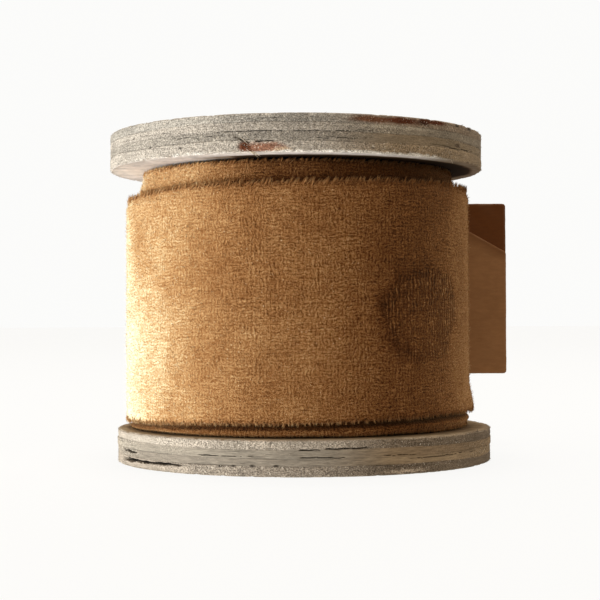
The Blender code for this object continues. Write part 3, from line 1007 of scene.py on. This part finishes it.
def cloth_shift(s, angle, z, level, length):
    """How far the ribbon's surface stands out of a plain roll, in mm."""
    deeper = 0.30 * np.maximum(z - 42.8, 0.0) + 0.35 * smooth(z, 40.5, 44.5)
    from_top = level + RIBBON_WIDTH - z
    covered = smooth(s, 0.86, 1.12)
    rolled_in = 0.30 * np.maximum(1.8 - from_top, 0.0)
    shift = -(1.0 - covered) * rolled_in - covered * deeper * (1.0 - s / 16.6)
    from_edge = np.maximum(z - level, 0.0)
    outermost = s < 1.0
    shift = shift + outermost * 0.75 * near_direction(angle, 75.0, 0.55) * (1.0 - smooth(from_edge, 0.0, 5.5))
    third = smooth(s, 1.96, 2.08) * (1.0 - smooth(s, 2.86, 2.97))
    at_right = near_direction(angle, 75.0, 0.9)
    low_flare = 1.15 + 0.55 * near_direction(angle, -80.0, 0.9)
    low_flare = low_flare + 0.85 * at_right
    tucked = 0.8 * (1.0 - smooth(z, 6.0, 7.4)) * at_right
    above = level_of(np.maximum(s - 2.0, 0.0))
    shift = shift + third * (low_flare * (1.0 - smooth(z, above - 1.5, above + 0.3)) - tucked)
    dent = bump_at(pressed_distance(angle, z), 0.0, 0.85) * np.exp(-s / 3.0)
    shift = shift - 0.22 * dent
    woven = np.stack(np.broadcast_arrays(length, z, 0.0 * z), axis=-1)
    soft = 0.5 + 0.5 * fractal(woven, (15.0, 11.0, 9.0), 71, 2)
    lumps = fractal(woven, (2.6, 2.2, 9.0), 72, 3)
    return shift + (s < FINE_TURNS) * (0.12 * soft + 0.035 * lumps) * np.where(outermost, 1.0, 0.5)


MARK_ANGLE = front_angle(43.5)
MARK_HEIGHT = 25.4
MARK_REACH = (10.2, 8.4)  # from its middle, round the roll and up


def pressed_distance(angle, z):
    """How far a point is from the middle of the round mark in the pile, as a share of its size."""
    x = turn_between(angle, MARK_ANGLE) * OUTER_RADIUS / MARK_REACH[0]
    y = (z - MARK_HEIGHT) / MARK_REACH[1]
    return np.sqrt(x * x + y * y)


def cross_section():
    """Round the ribbon's cross-section: height across its width, depth from its outer surface."""
    half = CLOTH / 2.0
    face = RIBBON_WIDTH - 2.0 * half
    by_edge = np.arange(10) * 0.26
    between = np.linspace(2.6, face - 2.6, 37)
    up = half + np.concatenate([by_edge, between, face - by_edge[::-1]])
    down = np.linspace(RIBBON_WIDTH - half, half, 13)
    turns = [math.pi * k / 4.0 for k in (1, 2, 3)]
    across = list(up) + [RIBBON_WIDTH - half + half * math.sin(t) for t in turns]
    across += list(down) + [half - half * math.sin(t) for t in turns]
    depth = [0.0] * len(up) + [-half + half * math.cos(t) for t in turns]
    depth += [-CLOTH] * len(down) + [-half - half * math.cos(t) for t in turns]
    return np.array(across), np.array(depth)


# painted highlight and shade of the pile on the outermost turn, and painted shade on the next one
# under the top disc, each as (degrees right of the front, lightness)
PAINTED_PILE_LIGHT = [
    (-180, 0.95), (-150, 1.05), (-110, 1.55), (-90, 2.4), (-75, 2.5), (-62, 2.05), (-48, 1.80), (-36, 1.52),
    (-26, 1.20), (-15, 1.04), (3, 1.02), (13, 0.86), (21, 0.75), (31, 0.54), (42, 0.51), (53, 0.64),
    (62, 0.92), (75, 1.20), (95, 0.8), (120, 1.05), (150, 0.85), (180, 0.95),
]
SHADE_UNDER_TOP = [
    (-180, 0.9), (-60, 1.0), (-30, 1.0), (-10, 0.60), (10, 0.45), (40, 0.42), (70, 0.35), (120, 0.7),
    (180, 0.9),
]


def nap_shade(s, angle, z):
    """How light the pile looks: painted highlight and shade round the roll, painted shade where a turn covers
    it.
    """
    right_of_front = np.degrees(turn_between(angle, front_angle(0.0)))
    # painted highlight and shade round the roll: lightest on the left where the light falls, darkest right of
    # the front, changed by height on the left
    painted_light = np.interp(right_of_front, *zip(*PAINTED_PILE_LIGHT))
    lower_left = bump_at(right_of_front, -75.0, 26.0) * smooth(z, 44.0, 30.0)
    upper_left = bump_at(right_of_front, -64.0, 13.0) * smooth(z, 30.0, 38.0)
    low_left = bump_at(right_of_front, -66.0, 20.0) * smooth(z, 26.0, 16.0)
    painted_light = painted_light * (1.0 + 0.22 * lower_left + 0.20 * low_left) * (1.0 - 0.22 * upper_left)
    painted_light = painted_light * (1.0 + 0.10 * smooth(z, 30.0, 14.0) * smooth(right_of_front, -40.0, -5.0))
    # painted shade on the next turn under the top disc's overhang
    shade_under_top = np.interp(right_of_front, *zip(*SHADE_UNDER_TOP))
    turn_edge = level_of(np.maximum(s - 1.0, 0.0)) + RIBBON_WIDTH
    # painted shade in the crease just above the outer turn's top edge
    shade_strength_above_edge = 0.45 + 0.4 * smooth(right_of_front, -45.0, 5.0)
    crease_shade = 1.0 - shade_strength_above_edge * bump_at(z, turn_edge + 0.35, 0.62)
    # painted shade right under the top disc's lip
    shade_under_lip = 1.0 - 0.75 * bump_at(z, level_of(s) + RIBBON_WIDTH, 0.45) * smooth(right_of_front, -50.0, 0.0)
    second = shade_under_top * crease_shade * shade_under_lip
    foot_edge = level_of(np.maximum(s - 2.0, 0.0))
    # painted shade in the crease under the outer turn's lower edge, and darker on the left
    third = 1.02 * (1.0 - 0.84 * bump_at(z, foot_edge - 0.60, 0.60))
    third = third * (1.0 - 0.25 * smooth(right_of_front, -35.0, -70.0))
    # painted shade along both edges of the outer turn
    edge = np.minimum(level_of(s) + RIBBON_WIDTH - z, z - level_of(s))
    outer = 1.0 - 0.30 * bump_at(np.maximum(edge, 0.0), 0.0, 0.65)
    covered = smooth(s, 0.90, 1.04)
    return painted_light * np.where(s < 2.0, outer * (1.0 - covered) + second * covered, third)


place, outwards, s_of, length_of, fine_columns = ribbon_columns()
angle_of = np.arctan2(place[:, 1], place[:, 0])
edge_wave = 0.16 * fractal(np.stack([length_of, 0 * s_of, 0 * s_of], axis=-1), 9.0, 77, 3)
level_at = level_of(s_of) + edge_wave
across, depth = cross_section()


def ribbon_points(columns, rows):
    """The ribbon's surface at the given stations and points of its cross-section, and its looks there."""
    s, angle, level, length = (v[columns][:, None] for v in (s_of, angle_of, level_at, length_of))
    z = level + across[rows][None, :]
    shift = cloth_shift(s, angle, z, level, length)
    off = shift + depth[rows][None, :]
    xy = place[columns][:, None, :] + outwards[columns][:, None, :] * off[..., None]
    points = np.concatenate([xy, z[..., None]], axis=-1)
    mark = pressed_distance(angle, z)
    spot = np.stack(np.broadcast_arrays(OUTER_RADIUS * angle, z, 0.0 * z), axis=-1)
    ragged = mark + 0.16 * fractal(spot, 3.4, 57, 3)
    pressed = (1.0 - smooth(ragged, 0.86, 0.98)) * (s < 1.0) * (0.80 + 0.20 * smooth(ragged, 0.6, 0.85))
    beside = turn_between(angle, MARK_ANGLE) * OUTER_RADIUS
    brushed_up = bump_at(beside, -2.0, 3.4) * bump_at(z, MARK_HEIGHT - 2.6, 2.6)
    faded_below = 0.80 + 0.20 * smooth(z, MARK_HEIGHT - 3.0, MARK_HEIGHT + 3.0)
    pressed = pressed * (1.0 - 0.55 * brushed_up) * faded_below
    facing = np.broadcast_to(depth[rows][None, :], z.shape)
    outline = bump_at(ragged, 0.93, 0.11) * smooth(beside, 4.5, -3.0) * (s < 1.0)
    # the pile's painted highlight and shade, kept as the attribute 'depth'; the back of the cloth is an even
    # 0.72
    painted_lightness = np.where(facing < -0.5 * CLOTH, 0.72, nap_shade(s, angle, z) * (1.0 - 0.38 * outline))
    width = np.broadcast_to(across[rows][None, :], z.shape)
    values = {"along": np.broadcast_to(length, z.shape), "across": width, "pressed": pressed, "depth": painted_lightness}
    return points.reshape(-1, 3), {key: v.ravel() for key, v in values.items()}


def build_ribbon(look):
    """The whole ribbon as one closed band, from its free end to its inner end at the hub."""
    fine, coarse = np.arange(fine_columns + 1), np.arange(fine_columns + 1, len(s_of))
    all_rows = np.arange(LOOP)
    near, near_values = ribbon_points(fine, all_rows)
    far, far_values = ribbon_points(coarse, all_rows[::4])
    base = len(near)
    far_quads = ring_quads(len(coarse), LOOP_COARSE, flip=True) + base
    quads = np.concatenate([ring_quads(len(fine), LOOP, flip=True), far_quads])
    others = []
    for k in range(LOOP_COARSE):
        fine_side = [base - LOOP + (4 * k + j) % LOOP for j in range(5)]
        others.append((fine_side + [base + (k + 1) % LOOP_COARSE, base + k])[::-1])
    others += [list(range(LOOP)), [base + len(far) - 1 - k for k in range(LOOP_COARSE)]]
    counts = np.concatenate([np.full(len(quads), 4), [len(f) for f in others]]).astype(np.int32)
    flat = np.concatenate([quads.ravel(), [i for f in others for i in f]]).astype(np.int32)
    values = {key: np.concatenate([near_values[key], far_values[key]]) for key in near_values}
    made = mesh_from_arrays("velvet_ribbon", np.concatenate([near, far]), counts, flat, look, values)
    made.data.set_sharp_from_angle(angle=math.radians(50))
    return made


velvet = velvet_look()
ribbon = build_ribbon(velvet)
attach(ribbon, "ribbon")
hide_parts("ribbon")


def on_ribbon(at):
    """The ribbon at the given lengths from its free end: the directions out of it and along it, s,
    its lower edge, and a function for points that stand out from it by given amounts at heights z."""
    columns = (place[:, 0], place[:, 1], outwards[:, 0], outwards[:, 1], s_of, level_at)
    x, y, ox, oy, s, level = (np.interp(at, length_of, column) for column in columns)

    def stand(off, z):
        return np.stack([x + ox * off, y + oy * off, z], axis=-1)

    level_out, level_along = (np.stack([u, v, 0.0 * ox], axis=-1) for u, v in ((ox, oy), (-oy, ox)))
    return level_out, level_along, s, level, np.arctan2(y, x), stand


def edge_tufts(first, last, top, random, spacing=0.76, fibres=7, reach=1.0):
    """Frayed pile along one edge of the ribbon between two stations (mm of length from its free end):
    small pointed tufts with gaps between them, leaning along the top edge and hanging at the bottom."""
    count = int((last - first) / spacing)
    at = first + (np.arange(count) + random.uniform(-0.22, 0.22, count)) * spacing
    lean = random.normal(0.70, 0.30, count) if top else random.normal(0.05, 0.24, count)
    reach_of = random.uniform(0.6, 1.1, count) * reach
    reach_of = np.where(random.random(count) < 0.05, reach_of * 1.6, reach_of)
    tuft_tone = random.uniform(0.80, 1.25, count)
    beside = random.normal(0.0, 0.10, count * fibres)
    at = np.clip(np.repeat(at, fibres) + beside, 0.05, length_of[-1])
    lean = np.repeat(lean, fibres) + random.normal(0.0, 0.10, count * fibres) - 0.7 * beside
    reach_of = np.repeat(reach_of, fibres) * random.uniform(0.65, 1.1, count * fibres)
    out, tangent, s, level, angle, stand = on_ribbon(at)
    inside = random.uniform(-0.06, 0.60, len(at)) * CLOTH
    back = random.uniform(0.20, 0.85, len(at))
    z = level + np.where(top, RIBBON_WIDTH - back, back)
    roots = stand(cloth_shift(s, angle, z, level, at) - inside, z)
    sign = 1.0 if top else -1.0
    length = back + (0.42 + 0.50 * reach_of if top else 0.14 + 0.36 * reach_of)
    flare = random.normal(0.14, 0.10, len(at)) - 0.20 * (inside > 0.4 * CLOTH)
    way = np.array([0.0, 0.0, sign]) + tangent * lean[:, None] + out * flare[:, None]
    way /= np.linalg.norm(way, axis=1, keepdims=True)
    tips = roots + way * length[:, None]
    tips[:, 2] = np.clip(tips[:, 2], INNER_LOW + 0.06, INNER_HIGH - 0.12)
    bends = tangent * (random.normal(0.0, 0.05, len(at)))[:, None]
    tone = np.repeat(tuft_tone, fibres) * random.uniform(0.8, 1.2, len(at)) * (1.0 if top else 1.2)
    # the tufts take on the pile's painted highlight and shade
    tone = tone * np.minimum(nap_shade(s, angle, 28.0 + 0.0 * z) ** 0.6, 1.30 if top else 1.10)
    return roots, tips, random.uniform(0.045, 0.085, len(at)), tone, bends


def end_tufts(random, spacing=0.5, fibres=6):
    """Loose threads along the cut end of the ribbon."""
    count = int(RIBBON_WIDTH / spacing)
    n = count * fibres
    z = np.repeat(level_at[0] + 0.2 + np.arange(count) * spacing, fibres) + random.normal(0, 0.1, n)
    out = outwards[0]
    ahead = place[0] - place[1]
    ahead /= np.linalg.norm(ahead)
    inside = random.uniform(0.08, 0.9, n) * CLOTH
    angle, level = np.full(n, angle_of[0]), np.full(n, level_at[0])
    shift = cloth_shift(np.zeros(n), angle, z, level, np.zeros(n)) - inside
    xy = place[0] - ahead * 0.2 + out * shift[:, None]
    roots = np.concatenate([xy, z[:, None]], axis=1)
    reach = random.uniform(0.25, 0.7, n)
    sideways = random.normal(0.0, 0.2, n)
    level_way = ahead * (reach + 0.2)[:, None] + out * sideways[:, None] * 0.5
    tips = roots + np.concatenate([level_way, (sideways * 0.8)[:, None]], axis=1)
    return roots, tips, random.uniform(0.035, 0.07, n), random.uniform(0.55, 1.4, n), np.zeros((n, 3))


def nap(random, count, first, last, low, high):
    """Single raised fibres of pile on the ribbon's face, between two stations and two heights on it."""
    at = random.uniform(first, last, count)
    v = random.uniform(low, high, count)
    out, tangent, s, level, angle, stand = on_ribbon(at)
    z = level + v
    flat = np.where((pressed_distance(angle, z) < 0.95) & (s < 1.0), 0.35, 1.0)
    roots = stand(cloth_shift(s, angle, z, level, at) - 0.06, z)
    stroke = fractal(np.stack([at, v, 0 * v], axis=-1), 6.0, 88, 2)
    way = tangent * (0.35 * stroke + random.normal(0.0, 0.35, count))[:, None]
    way = way + out * (flat * random.uniform(0.12, 0.6, count))[:, None]
    way[:, 2] = 0.6 + random.normal(0.0, 0.4, count)
    way /= np.linalg.norm(way, axis=1, keepdims=True)
    tips = roots + way * random.uniform(0.30, 0.70, count)[:, None]
    # the fibres take on the pile's painted highlight and shade
    tone = random.uniform(0.5, 1.5, count) * nap_shade(s, angle, z) * np.where(flat < 1.0, 0.5, 1.0)
    return roots, tips, random.uniform(0.030, 0.060, count), tone


def length_at(s):
    """The ribbon's length from its free end to s."""
    return float(np.interp(s, s_of[s_of > 0], length_of[s_of > 0]))


random = np.random.default_rng(7)
frays = [
    edge_tufts(0.2, length_at(1.0), True, random),
    edge_tufts(0.2, length_at(1.0), False, random),
    edge_tufts(length_at(1.0), length_at(2.15), True, random, reach=0.8),
    edge_tufts(length_at(1.0), length_at(1.2), False, random, reach=0.8),
    edge_tufts(length_at(1.95), length_at(3.1), False, random, 0.40, 5, 0.35),
    end_tufts(random),
]
roots, tips, widths, tones, bends = (np.concatenate([f[k] for f in frays]) for k in range(5))
velvet_fibre = velvet_thread_look("velvet_fibre", 0.72, 1.75)
fray = spikes("velvet_fray", roots, tips, widths, velvet_fibre, tones, bends)
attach(fray, "ribbon")
pile = [
    nap(random, FACE_FIBRES, 0.3, length_at(1.0), 0.3, RIBBON_WIDTH - 0.3),
    nap(random, BAND_FIBRES, length_at(1.0), length_at(2.0), 32.5, RIBBON_WIDTH - 0.5),
]
roots, tips, widths, tones = (np.concatenate([p[k] for p in pile]) for k in range(4))
pile_fibre = velvet_thread_look("pile_fibre", 0.75, 1.7)
raised = spikes("velvet_pile", roots, tips, widths, pile_fibre, tones)
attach(raised, "ribbon")


# ---------------------------------------------------------------- card label

CARD_SPLIT = 0.02  # mm between its two layers
CORNER = 0.7
FOLD_CORNER = 0.62
FOLD_RUN, FOLD_DROP = 17.0, 9.6  # the slanted cut's reach along the top edge and down the free one
# how far in from its outline a layer's flat faces have rings of points
CARD_FACE_INSETS = (0.55, 0.34, 0.13)
CARD_BEVEL = 0.13


def rounded_outline(corners, radii, step=0.45):
    """Points round a polygon (x, z) with rounded corners, evenly spaced, counterclockwise."""
    corners = [np.array(c, float) for c in corners]
    n = len(corners)
    path = []
    for k in range(n):
        before, here, after = corners[k - 1], corners[k], corners[(k + 1) % n]
        a, b = before - here, after - here
        a, b = a / np.linalg.norm(a), b / np.linalg.norm(b)
        cut = radii[k] / math.tan(0.5 * math.acos(float(np.clip(a @ b, -1, 1))))
        start, end = here + a * cut, here + b * cut
        for t in np.linspace(0.0, 1.0, 7):
            path.append((1 - t) ** 2 * start + 2 * (1 - t) * t * here + t * t * end)
    path = np.array(path + [path[0]])
    lengths = np.concatenate([[0.0], np.cumsum(np.linalg.norm(np.diff(path, axis=0), axis=1))])
    at = np.linspace(0.0, lengths[-1], int(lengths[-1] / step), endpoint=False)
    return np.stack([np.interp(at, lengths, path[:, k]) for k in (0, 1)], axis=-1)


def card_layer(name, corners, radii, front, back, look, seed, painted_card_shade=0.0):
    """A sheet of card with soft, slightly furred edges, from y = front to y = back. The last argument is how
    far painted shadow darkens its front face; where that is 0, the face takes the painted shade by the cut."""
    outline = rounded_outline(corners, radii)
    ahead = np.roll(outline, -1, axis=0) - np.roll(outline, 1, axis=0)
    inward = np.stack([-ahead[:, 1], ahead[:, 0]], axis=-1)
    inward /= np.linalg.norm(inward, axis=1, keepdims=True)
    half_way = (front + back) / 2
    steps = [(inset, front) for inset in CARD_FACE_INSETS] + [(0.0, front + CARD_BEVEL), (0.02, half_way)]
    steps += [(0.0, back - CARD_BEVEL)] + [(inset, back) for inset in CARD_FACE_INSETS[::-1]]
    rings, worn = [], []
    for inset, y in steps:
        flat = np.stack([outline[:, 0], 0 * outline[:, 0] + y, outline[:, 1]], axis=-1)
        rag = 0.045 * (1.0 + fractal(flat, 0.9, seed, 3)) * math.exp(-inset / 0.4)
        ring = outline + inward * (inset + rag)[:, None]
        dent = 0.04 * smooth(fractal(flat, 1.7, seed + 3, 2), 0.1, 0.8)
        dent = dent * math.exp(-((inset - 0.2) ** 2) / 0.04)
        depth = y + dent * (1.0 if y < half_way else -1.0)
        rings.append(np.stack([ring[:, 0], depth, ring[:, 1]], axis=-1))
        patchy = 0.35 + 0.65 * smooth(fractal(flat, 2.6, seed + 5, 3), -0.5, 0.5)
        worn.append(patchy * math.exp(-((inset / 0.42) ** 2)))
    points = np.concatenate(rings)
    faces = [list(q) for q in ring_quads(len(steps), len(outline), flip=True)]
    last = len(points) - len(outline)
    flat_rings = [[(p[0], p[2], 0.0) for p in ring] for ring in (rings[0], rings[-1])]
    front_face, back_face = (fill_loops([ring]) for ring in flat_rings)
    faces += front_face + [[last + i for i in t][::-1] for t in back_face]
    before = points[:, 1] < half_way - 0.01
    marks = {"worn": np.concatenate(worn), "painted_card_shade": before * painted_card_shade, "front": before * float(painted_card_shade == 0.0)}
    made = mesh_object(name, points, faces, look, marks)
    made.data.set_sharp_from_angle(angle=math.radians(60))
    return made


(left, near, foot), (right, far_side, head) = LABEL_LOW, LABEL_HIGH
middle = (near + far_side) / 2.0
fold_start, fold_end = (right - FOLD_RUN, head), (right, head - FOLD_DROP)
card = card_look(fold_start, fold_end)
back_corners = [(left, foot), (right, foot), (right, head), (left, head)]
front_corners = [(left, foot), (right, foot), fold_end, fold_start, (left, head)]
front_radii = [CORNER, CORNER, FOLD_CORNER, FOLD_CORNER, CORNER]
# the back layer's front face is darkened in full by painted shadow
back_card = card_layer("card_back", back_corners, [CORNER] * 4, middle + CARD_SPLIT, far_side, card, 91, 1.0)
front_card = card_layer("card_front", front_corners, front_radii, near, middle - CARD_SPLIT, card, 92)
for piece in (back_card, front_card):
    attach(piece, "label")
    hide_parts("label_card")


# ---------------------------------------------------------------- hub and screws

hub_wood, screw_steel = hub_look(), steel_look()
for node in sorted(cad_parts):
    if node == "hub" or "screw" in node:
        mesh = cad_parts[node].data
        mesh.materials.clear()
        mesh.materials.append(hub_wood if node == "hub" else screw_steel)


# ---------------------------------------------------------------- studio

scene = bpy.context.scene
scene.view_settings.view_transform = "Standard"

FLOOR_REACH = 6.0  # metres, as are all lengths from here on
FLOOR_GLOW = (0.40, 0.365, 0.31)  # what the floor sends up to the object
FLOOR_SEEN = (0.885, 0.883, 0.872)  # and what the camera sees of it
floor_look = Look("floor", {"Roughness": 0.9, "Specular IOR Level": 0.2, "Emission Strength": 1.0})
floor_look.shader.inputs["Base Color"].default_value = (0.06, 0.06, 0.058, 1.0)
seen_directly = floor_look.add("ShaderNodeLightPath").outputs["Is Camera Ray"]
floor_glow = floor_look.mix(seen_directly, FLOOR_GLOW, FLOOR_SEEN)
floor_look.feed(floor_look.shader.inputs["Emission Color"], floor_glow)
mesh = bpy.data.meshes.new("floor")
corners = [(x * FLOOR_REACH, y * FLOOR_REACH, 0) for x, y in ((-1, -1), (1, -1), (1, 1), (-1, 1))]
mesh.from_pydata(corners, [], [(0, 1, 2, 3)])
mesh.materials.append(floor_look.material)
floor = bpy.data.objects.new("floor", mesh)
scene.collection.objects.link(floor)
floor.visible_glossy = False
floor.visible_shadow = False

world = bpy.data.worlds.new("pale_room")
scene.world = world
world.use_nodes = True
tree = world.node_tree
tree.nodes.clear()
output = tree.nodes.new("ShaderNodeOutputWorld")
choose = tree.nodes.new("ShaderNodeMixShader")
path = tree.nodes.new("ShaderNodeLightPath")
tree.links.new(path.outputs["Is Camera Ray"], choose.inputs[0])
# the tone that lights the object, and the one that the camera sees
for k, (colour, strength) in enumerate((((1.0, 0.88, 0.75), 0.62), ((1.0, 0.998, 0.985), 0.97))):
    tone = tree.nodes.new("ShaderNodeBackground")
    tone.inputs["Color"].default_value = (*colour, 1.0)
    tone.inputs["Strength"].default_value = strength
    tree.links.new(tone.outputs[0], choose.inputs[1 + k])
tree.links.new(choose.outputs[0], output.inputs["Surface"])


OBJECT_MIDDLE = (0.0, 0.0, 0.028)


def soft_light(name, where, size, power, colour):
    lamp = bpy.data.lights.new(name, "AREA")
    lamp.shape = "RECTANGLE"
    lamp.size, lamp.size_y = size
    lamp.energy = power
    lamp.color = colour
    made = bpy.data.objects.new(name, lamp)
    made.location = where
    made.rotation_euler = (Vector(OBJECT_MIDDLE) - Vector(where)).to_track_quat("-Z", "Y").to_euler()
    scene.collection.objects.link(made)


# the window sits lower than the floor, which lets its light through
soft_light("window", (-0.60, -0.16, -0.12), (0.55, 0.40), 7.5, (0.96, 0.99, 1.0))
soft_light("overhead", (0.0, 0.05, 1.0), (0.35, 0.35), 6.0, (1.0, 0.98, 0.95))


# ---------------------------------------------------------------- camera

CAMERA_PLACE = (0.0, -0.2531, 0.02405)
CAMERA_PITCH = 0.0148  # radians above level
CAMERA_ROLL = -0.0033
FOCAL_LENGTH = 85.97  # mm
SENSOR_WIDTH = 36.0  # mm
lens = bpy.data.cameras.new("camera")
lens.lens = FOCAL_LENGTH
lens.sensor_width = SENSOR_WIDTH
lens.clip_start = 0.01
lens.clip_end = 50.0
camera = bpy.data.objects.new("camera", lens)
scene.collection.objects.link(camera)
up = Matrix.Rotation(math.pi / 2 + CAMERA_PITCH, 4, "X")
camera.matrix_world = Matrix.Translation(CAMERA_PLACE) @ up @ Matrix.Rotation(CAMERA_ROLL, 4, "Z")
scene.camera = camera
